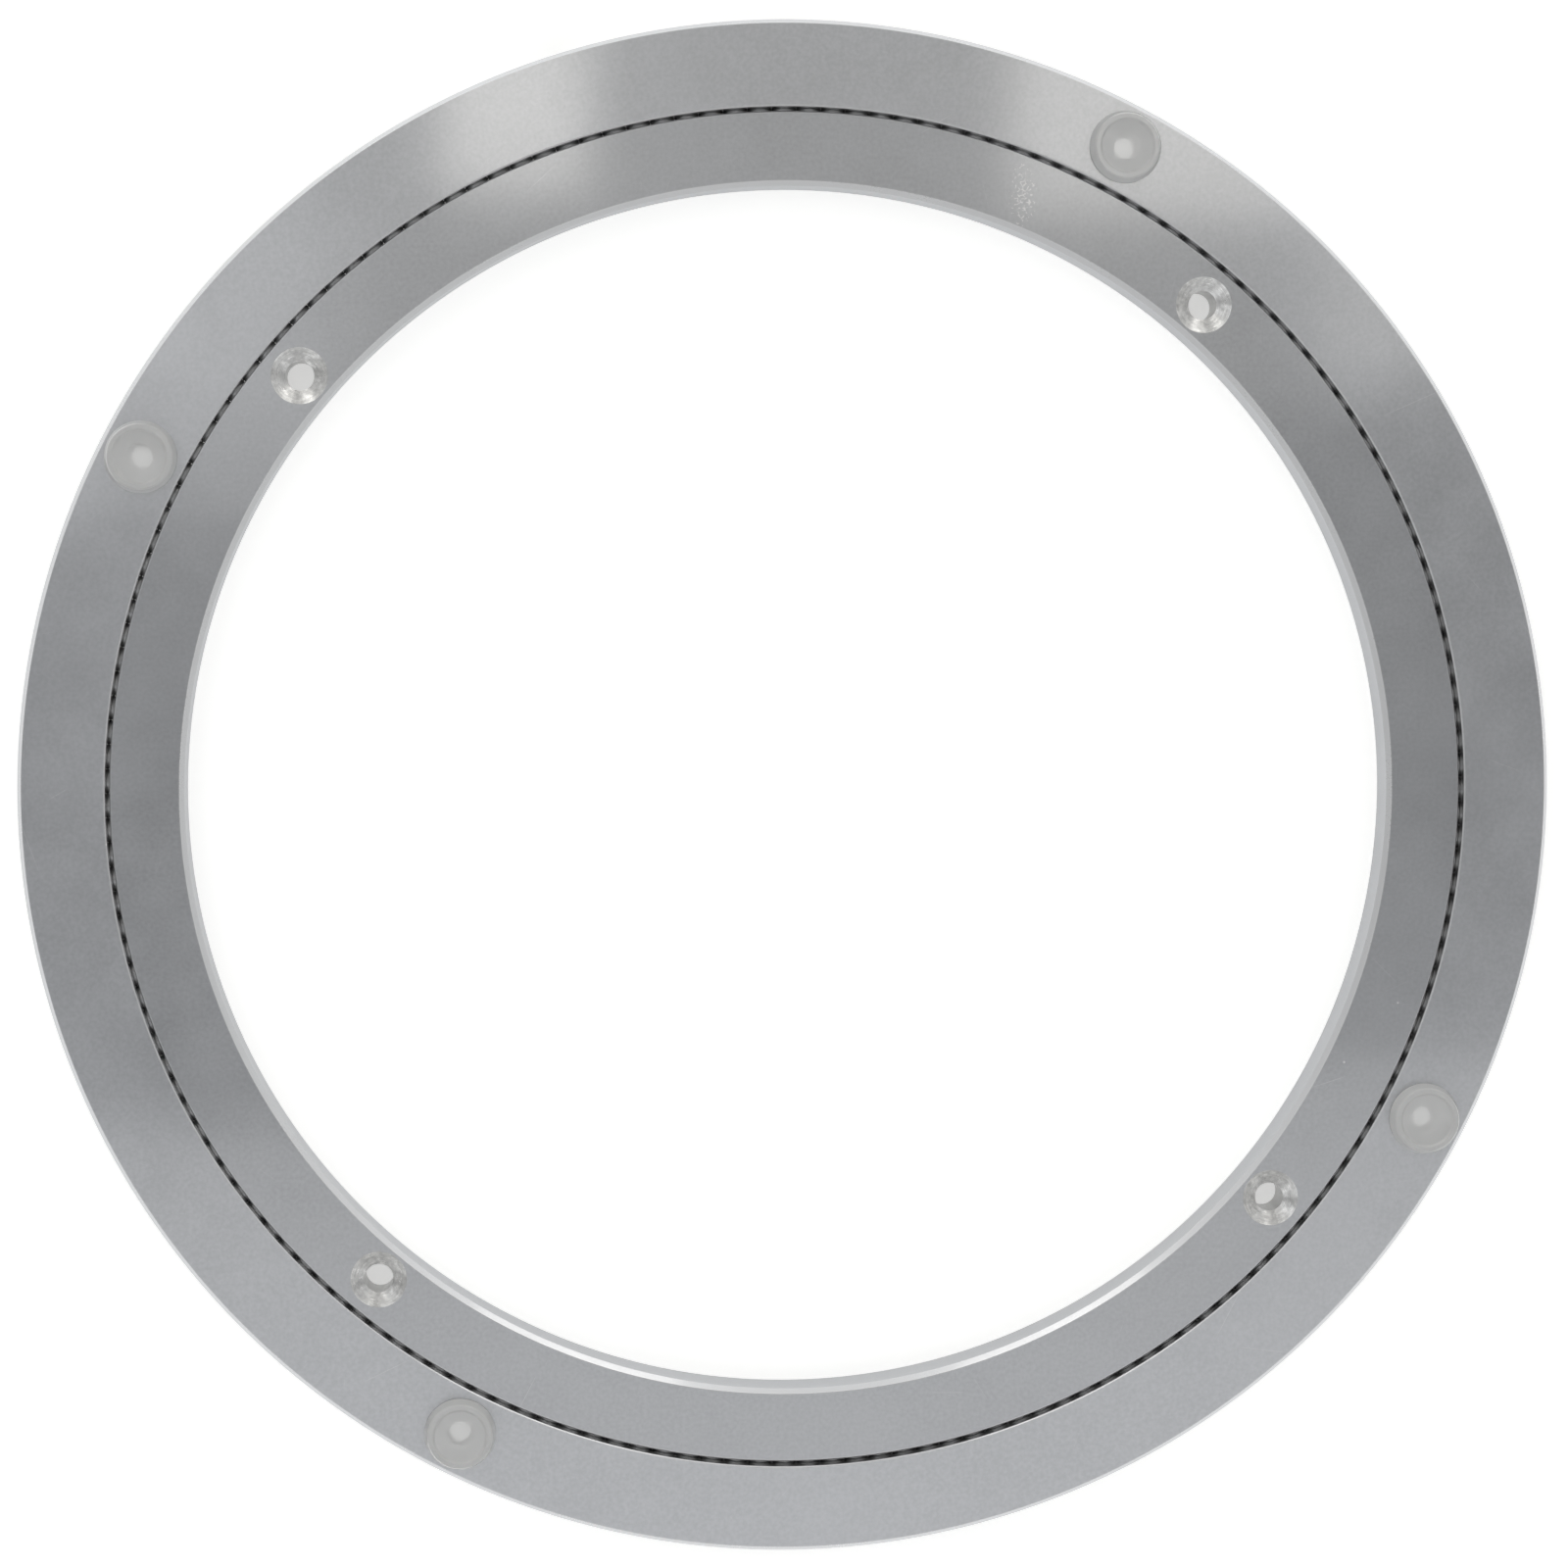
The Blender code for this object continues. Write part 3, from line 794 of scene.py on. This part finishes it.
def inner_ring(finish, cut_finish):
    corners = [
        (BORE + BACK_CHAMFER, INNER_BACK, EDGE_ROUND),
        (BORE, INNER_BACK + BACK_CHAMFER, EDGE_ROUND),
        (BORE, INNER_FACE - BORE_CHAMFER, EDGE_ROUND),
        (BORE + BORE_CHAMFER, INNER_FACE, EDGE_ROUND),
        (INNER_WALL - GAP_CHAMFER, INNER_FACE, EDGE_ROUND),
        (INNER_WALL, INNER_FACE - GAP_CHAMFER, EDGE_ROUND / 2),
        *race(-1),
        (INNER_WALL, INNER_BACK + GAP_CHAMFER, EDGE_ROUND / 2),
        (INNER_WALL - GAP_CHAMFER, INNER_BACK, EDGE_ROUND),
    ]
    ring = turned_ring("inner_ring_blank", corners, finish)
    drill = screw_drill()
    ring = grow(ring, DRILL, "inner_ring_fine", Drill=drill, Count=SCREW_COUNT, Circle_Radius=SCREW_CIRCLE,
                Start_Angle=SCREW_START, Finish=finish)
    bpy.data.objects.remove(drill)
    tidy_shell(ring)
    finish_countersinks(ring, cut_finish)
    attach(ring, "inner_ring_body")
    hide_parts("inner_ring")
    return ring


def outer_ring(finish):
    corners = [
        (RIM - BACK_CHAMFER, OUTER_BACK, EDGE_ROUND),
        (RIM, OUTER_BACK + BACK_CHAMFER, EDGE_ROUND),
        (RIM, OUTER_FACE - RIM_CHAMFER, EDGE_ROUND),
        (RIM - RIM_CHAMFER, OUTER_FACE, EDGE_ROUND),
        (OUTER_WALL + GAP_CHAMFER, OUTER_FACE, EDGE_ROUND),
        (OUTER_WALL, OUTER_FACE - GAP_CHAMFER, EDGE_ROUND / 2),
        *race(+1),
        (OUTER_WALL, OUTER_BACK + GAP_CHAMFER, EDGE_ROUND / 2),
        (OUTER_WALL + GAP_CHAMFER, OUTER_BACK, EDGE_ROUND),
    ]
    ring = turned_ring("outer_ring_blank", corners, finish)
    stem_drill = revolved("stem_drill", [
        (0.0, OUTER_BACK - MM), (STEM_HOLE + LEAD_IN + MM, OUTER_BACK - MM),
        (STEM_HOLE, OUTER_BACK + LEAD_IN), (STEM_HOLE, OUTER_FACE - LEAD_IN),
        (STEM_HOLE + LEAD_IN + MM, OUTER_FACE + MM), (0.0, OUTER_FACE + MM)], HOLE_STEPS)
    ring = grow(ring, DRILL, "outer_ring_drilled", Drill=stem_drill, Count=len(BUMPER_NODES),
                Circle_Radius=BUMPER_CIRCLE, Start_Angle=BUMPER_START, Finish=finish)
    bpy.data.objects.remove(stem_drill)
    side_drill = revolved("side_drill", [
        (0.0, PITCH), (PLUG_HOLE, PITCH), (PLUG_HOLE, RIM - LEAD_IN),
        (PLUG_HOLE + LEAD_IN + MM, RIM + MM), (0.0, RIM + MM)], HOLE_STEPS)
    side_drill.data.transform(LAID_OUTWARDS)
    ring = grow(ring, DRILL, "outer_ring_fine", Drill=side_drill, Count=1, Circle_Radius=0.0,
                Start_Angle=PLUG_ANGLE, Finish=finish)
    bpy.data.objects.remove(side_drill)
    tidy_shell(ring)
    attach(ring, "outer_ring_body")
    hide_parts("outer_ring")
    return ring


def rounded_profile(corners):
    """An open profile from (radius, height, round) corners, starting and ending on the axis."""
    points = [Vector(c[:2]) for c in corners]
    outline = [points[0]]
    for i in range(1, len(points) - 1):
        if corners[i][2]:
            outline += fillet(points[i - 1], points[i], points[i + 1], corners[i][2])
        else:
            outline.append(points[i])
    return [*outline, points[-1]]


def bumpers(finish):
    """Four soft bumpers: a tapered head with a raised rim and a dished top, on a barbed stem."""
    foot, top = BUMPER_FOOT, BUMPER_TOP
    rim = foot - 0.7 * MM
    stem = STEM_HOLE - 0.05 * MM
    seat = OUTER_FACE + 0.02 * MM
    dish = top - 0.6 * MM
    profile = rounded_profile([
        (0.0, STEM_END, 0), (stem - 0.6 * MM, STEM_END, 0.2 * MM), (stem, STEM_END + 0.9 * MM, 0.3 * MM),
        (stem, seat, 0), (foot - 0.05 * MM, seat, 0.1 * MM), (foot, seat + 0.5 * MM, 0.25 * MM),
        (rim + 0.1 * MM, top - 0.45 * MM, 0.25 * MM), (rim - 0.15 * MM, top, 0.18 * MM),
        (rim - 0.95 * MM, top, 0.18 * MM), (rim - 1.35 * MM, top - 0.42 * MM, 0.3 * MM),
        (2.6 * MM, dish, 1.2 * MM), (0.0, dish - 0.06 * MM, 0),
    ])
    pattern = revolved("bumper_pattern", profile, 96)
    made = grow(pattern, SPACE, "bumpers_fine", Count=len(BUMPER_NODES), Circle_Radius=BUMPER_CIRCLE,
                Start_Angle=BUMPER_START, Height=0.0, Finish=finish)
    made.data.shade_smooth()
    made.data.set_sharp_from_angle(angle=math.radians(60))
    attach(made, "outer_ring_body")
    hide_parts(*BUMPER_NODES)
    return made


def ball_row(finish):
    """The full row of balls, a ball's width apart."""
    shape = bmesh.new()
    bmesh.ops.create_uvsphere(shape, u_segments=14, v_segments=9, radius=BALL)
    pattern = mesh_object("ball_pattern", shape)
    made = grow(pattern, SPACE, "ball_row_fine", Count=BALL_COUNT, Circle_Radius=PITCH,
                Start_Angle=0.0, Height=BALL_PLACE.z, Finish=finish)
    made.data.shade_smooth()
    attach(made, "ball_row_body")
    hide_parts(*BALL_NODES)
    return made


def loading_plug(finish):
    """A socket-head plug in the rim, its edge and socket mouth chamfered."""
    inner_end, outer_end = PITCH + RACE + 0.2 * MM, RIM - 0.4 * MM
    radius = PLUG_HOLE - 0.06 * MM
    profile = rounded_profile([
        (0.0, inner_end, 0), (radius - 0.5 * MM, inner_end, 0.1 * MM),
        (radius, inner_end + 0.5 * MM, 0.1 * MM), (radius, outer_end - 0.4 * MM, 0.1 * MM),
        (radius - 0.4 * MM, outer_end, 0.1 * MM), (0.0, outer_end, 0)])
    plug = revolved("loading_plug_blank", profile, 64)
    across = 1.5 * MM / math.cos(math.pi / 6)
    key = revolved("plug_key", [
        (0.0, outer_end - 2.8 * MM), (across, outer_end - 2.5 * MM), (across, outer_end - 0.25 * MM),
        (across + 0.55 * MM, outer_end + 0.3 * MM), (0.0, outer_end + 0.3 * MM)], 6)
    plug = grow(plug, DRILL, "loading_plug_fine", Drill=key, Count=1, Circle_Radius=0.0, Start_Angle=0.0,
                Finish=finish)
    bpy.data.objects.remove(key)
    plug.data.transform(Matrix.Rotation(PLUG_ANGLE, 4, "Z") @ LAID_OUTWARDS)
    tidy_shell(plug)
    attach(plug, "outer_ring_body")
    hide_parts("loading_plug")
    return plug


# ---- stage ---------------------------------------------------------------------------------
COOL, WARM = (0.978, 0.986, 1.0), (1.0, 0.985, 0.95)


def floor():
    shape = bmesh.new()
    bmesh.ops.create_circle(shape, cap_ends=True, segments=96, radius=6.0)
    ground = mesh_object("floor", shape)
    ground.data.transform(Matrix.Translation((0, 0, cad_bounds[0].z - 0.02 * MM)))
    finish, _, shader = new_material("pale_floor")
    shader.inputs["Base Color"].default_value = (0.9, 0.9, 0.89, 1.0)
    shader.inputs["Roughness"].default_value = 0.9
    shader.inputs["Specular IOR Level"].default_value = 0.1
    shader.inputs["Emission Color"].default_value = (1.0, 1.0, 0.99, 1.0)
    shader.inputs["Emission Strength"].default_value = 0.5
    ground.data.materials.append(finish)


def soft_light(name, place, aim, size, radiance, turn=0.0, colour=COOL):
    """A rectangular soft light of a given brightness, facing a point and turned about its own axis."""
    lamp = bpy.data.lights.new(name, "AREA")
    lamp.shape = "RECTANGLE"
    lamp.size, lamp.size_y = size
    lamp.energy = radiance * math.pi * size[0] * size[1]
    lamp.color = colour
    holder = bpy.data.objects.new(name, lamp)
    bpy.context.scene.collection.objects.link(holder)
    holder.location = place
    holder.rotation_mode = "QUATERNION"
    facing = (Vector(aim) - Vector(place)).to_track_quat("-Z", "Y")
    holder.rotation_quaternion = Quaternion((0, 0, 1), turn) @ facing
    holder.visible_camera = False
    return holder


def ceiling_panel(name, near_edge, middle_x, size, radiance, height=1.2, turn=0.0, colour=COOL):
    """A soft light flat overhead. near_edge is the y of the edge nearest the axis."""
    y = near_edge + math.copysign(size[1] / 2, near_edge)
    place = Vector((middle_x, y, height))
    return soft_light(name, place, (place.x, place.y, 0.0), size, radiance, turn, colour)


def from_angles(azimuth, elevation, distance):
    """A place at an azimuth clockwise from +Y and an elevation, seen from the object."""
    a, e = math.radians(azimuth), math.radians(elevation)
    return Vector((math.sin(a) * math.cos(e), math.cos(a) * math.cos(e), math.sin(e))) * distance


def studio_world():
    """A dark ceiling over a pale horizon that is brightest towards +Y."""
    world = bpy.data.worlds.new("studio")
    world.use_nodes = True
    tree = world.node_tree
    sky = tree.nodes.new("ShaderNodeTexCoord").outputs["Generated"]
    way = add(tree, "ShaderNodeSeparateXYZ", Vector=sky).outputs
    overhead = step_up(tree, way["Z"], math.sin(math.radians(6)), math.sin(math.radians(38)))
    window = step_up(tree, way["Y"], 0.1, 0.85)
    horizon = spread(tree, window, 0.0, 1.0, 0.9, 1.3)
    background = tree.nodes["Background"]
    background.inputs["Color"].default_value = (1.0, 0.993, 0.975, 1.0)
    dim = math_node(tree, "MULTIPLY_ADD", overhead, math_node(tree, "SUBTRACT", 0.06, horizon), horizon)
    tree.links.new(dim, background.inputs["Strength"])
    bpy.context.scene.world = world


def lights():
    centre = (0.0, 0.0, 0.0)
    soft_light("back_left", from_angles(-24, 24, 1.6), centre, (0.6, 0.9), 1.15, colour=WARM)
    soft_light("back_right", from_angles(26, 24, 1.6), centre, (0.6, 0.9), 1.15, colour=WARM)
    ceiling_panel("ceiling_back_left", 0.07, -0.90, (1.5, 1.0), 0.95)
    ceiling_panel("ceiling_back_middle", 0.10, 0.08, (0.46, 1.0), 0.48, colour=WARM)
    ceiling_panel("ceiling_back_right", 0.12, 1.06, (1.5, 1.0), 0.6)
    ceiling_panel("ceiling_front", -0.22, 0.0, (3.2, 1.3), 0.95, turn=math.radians(3))
    ceiling_panel("lamp_far_left", 0.12, -0.19, (0.13, 0.09), 0.3, height=1.15)
    ceiling_panel("lamp_left", 0.221, -0.056, (0.07, 0.09), 2.95, height=1.15, colour=WARM)
    ceiling_panel("lamp_right", 0.212, 0.255, (0.15, 0.1), 2.4, height=1.15, colour=WARM)
    ceiling_panel("lamp_far_right", 0.14, 0.375, (0.09, 0.08), 1.0, height=1.15, colour=WARM)


def camera():
    eye = bpy.data.cameras.new("camera")
    eye.sensor_width = 36.0
    eye.lens = 92.7
    eye.clip_start = 0.01
    holder = bpy.data.objects.new("camera", eye)
    bpy.context.scene.collection.objects.link(holder)
    place, aim = Vector((-0.0523, 0.0439, 0.7975)), Vector((-0.00144, 0.0016, 0.010))
    back = (place - aim).normalized()
    right = Vector((0, 1, 0)).cross(back).normalized()
    up = back.cross(right)
    holder.matrix_world = Matrix.Translation(place) @ Matrix((right, up, back)).transposed().to_4x4()
    bpy.context.scene.camera = holder


bpy.context.scene.view_settings.view_transform = "Standard"
camera()
studio_world()
lights()
floor()

satin_outer = ring_aluminium(
    "satin_aluminium_outer", OUTER_TONE, OUTER_WALL + GAP_CHAMFER, RIM - RIM_CHAMFER, OUTER_FACE, RIM,
    RIM_WALL_PAINTED_LIGHT, OUTER_SCRATCHES)
satin_inner = ring_aluminium(
    "satin_aluminium_inner", INNER_TONE, BORE + BORE_CHAMFER, INNER_WALL - GAP_CHAMFER, INNER_FACE, BORE,
    BORE_WALL_PAINTED_LIGHT, INNER_SCRATCHES, SCUFFED_PLACE)
inner_ring(satin_inner, countersink_aluminium())
outer_ring(satin_outer)
bumpers(bumper_rubber())
ball_row(ball_steel())
loading_plug(plug_steel())
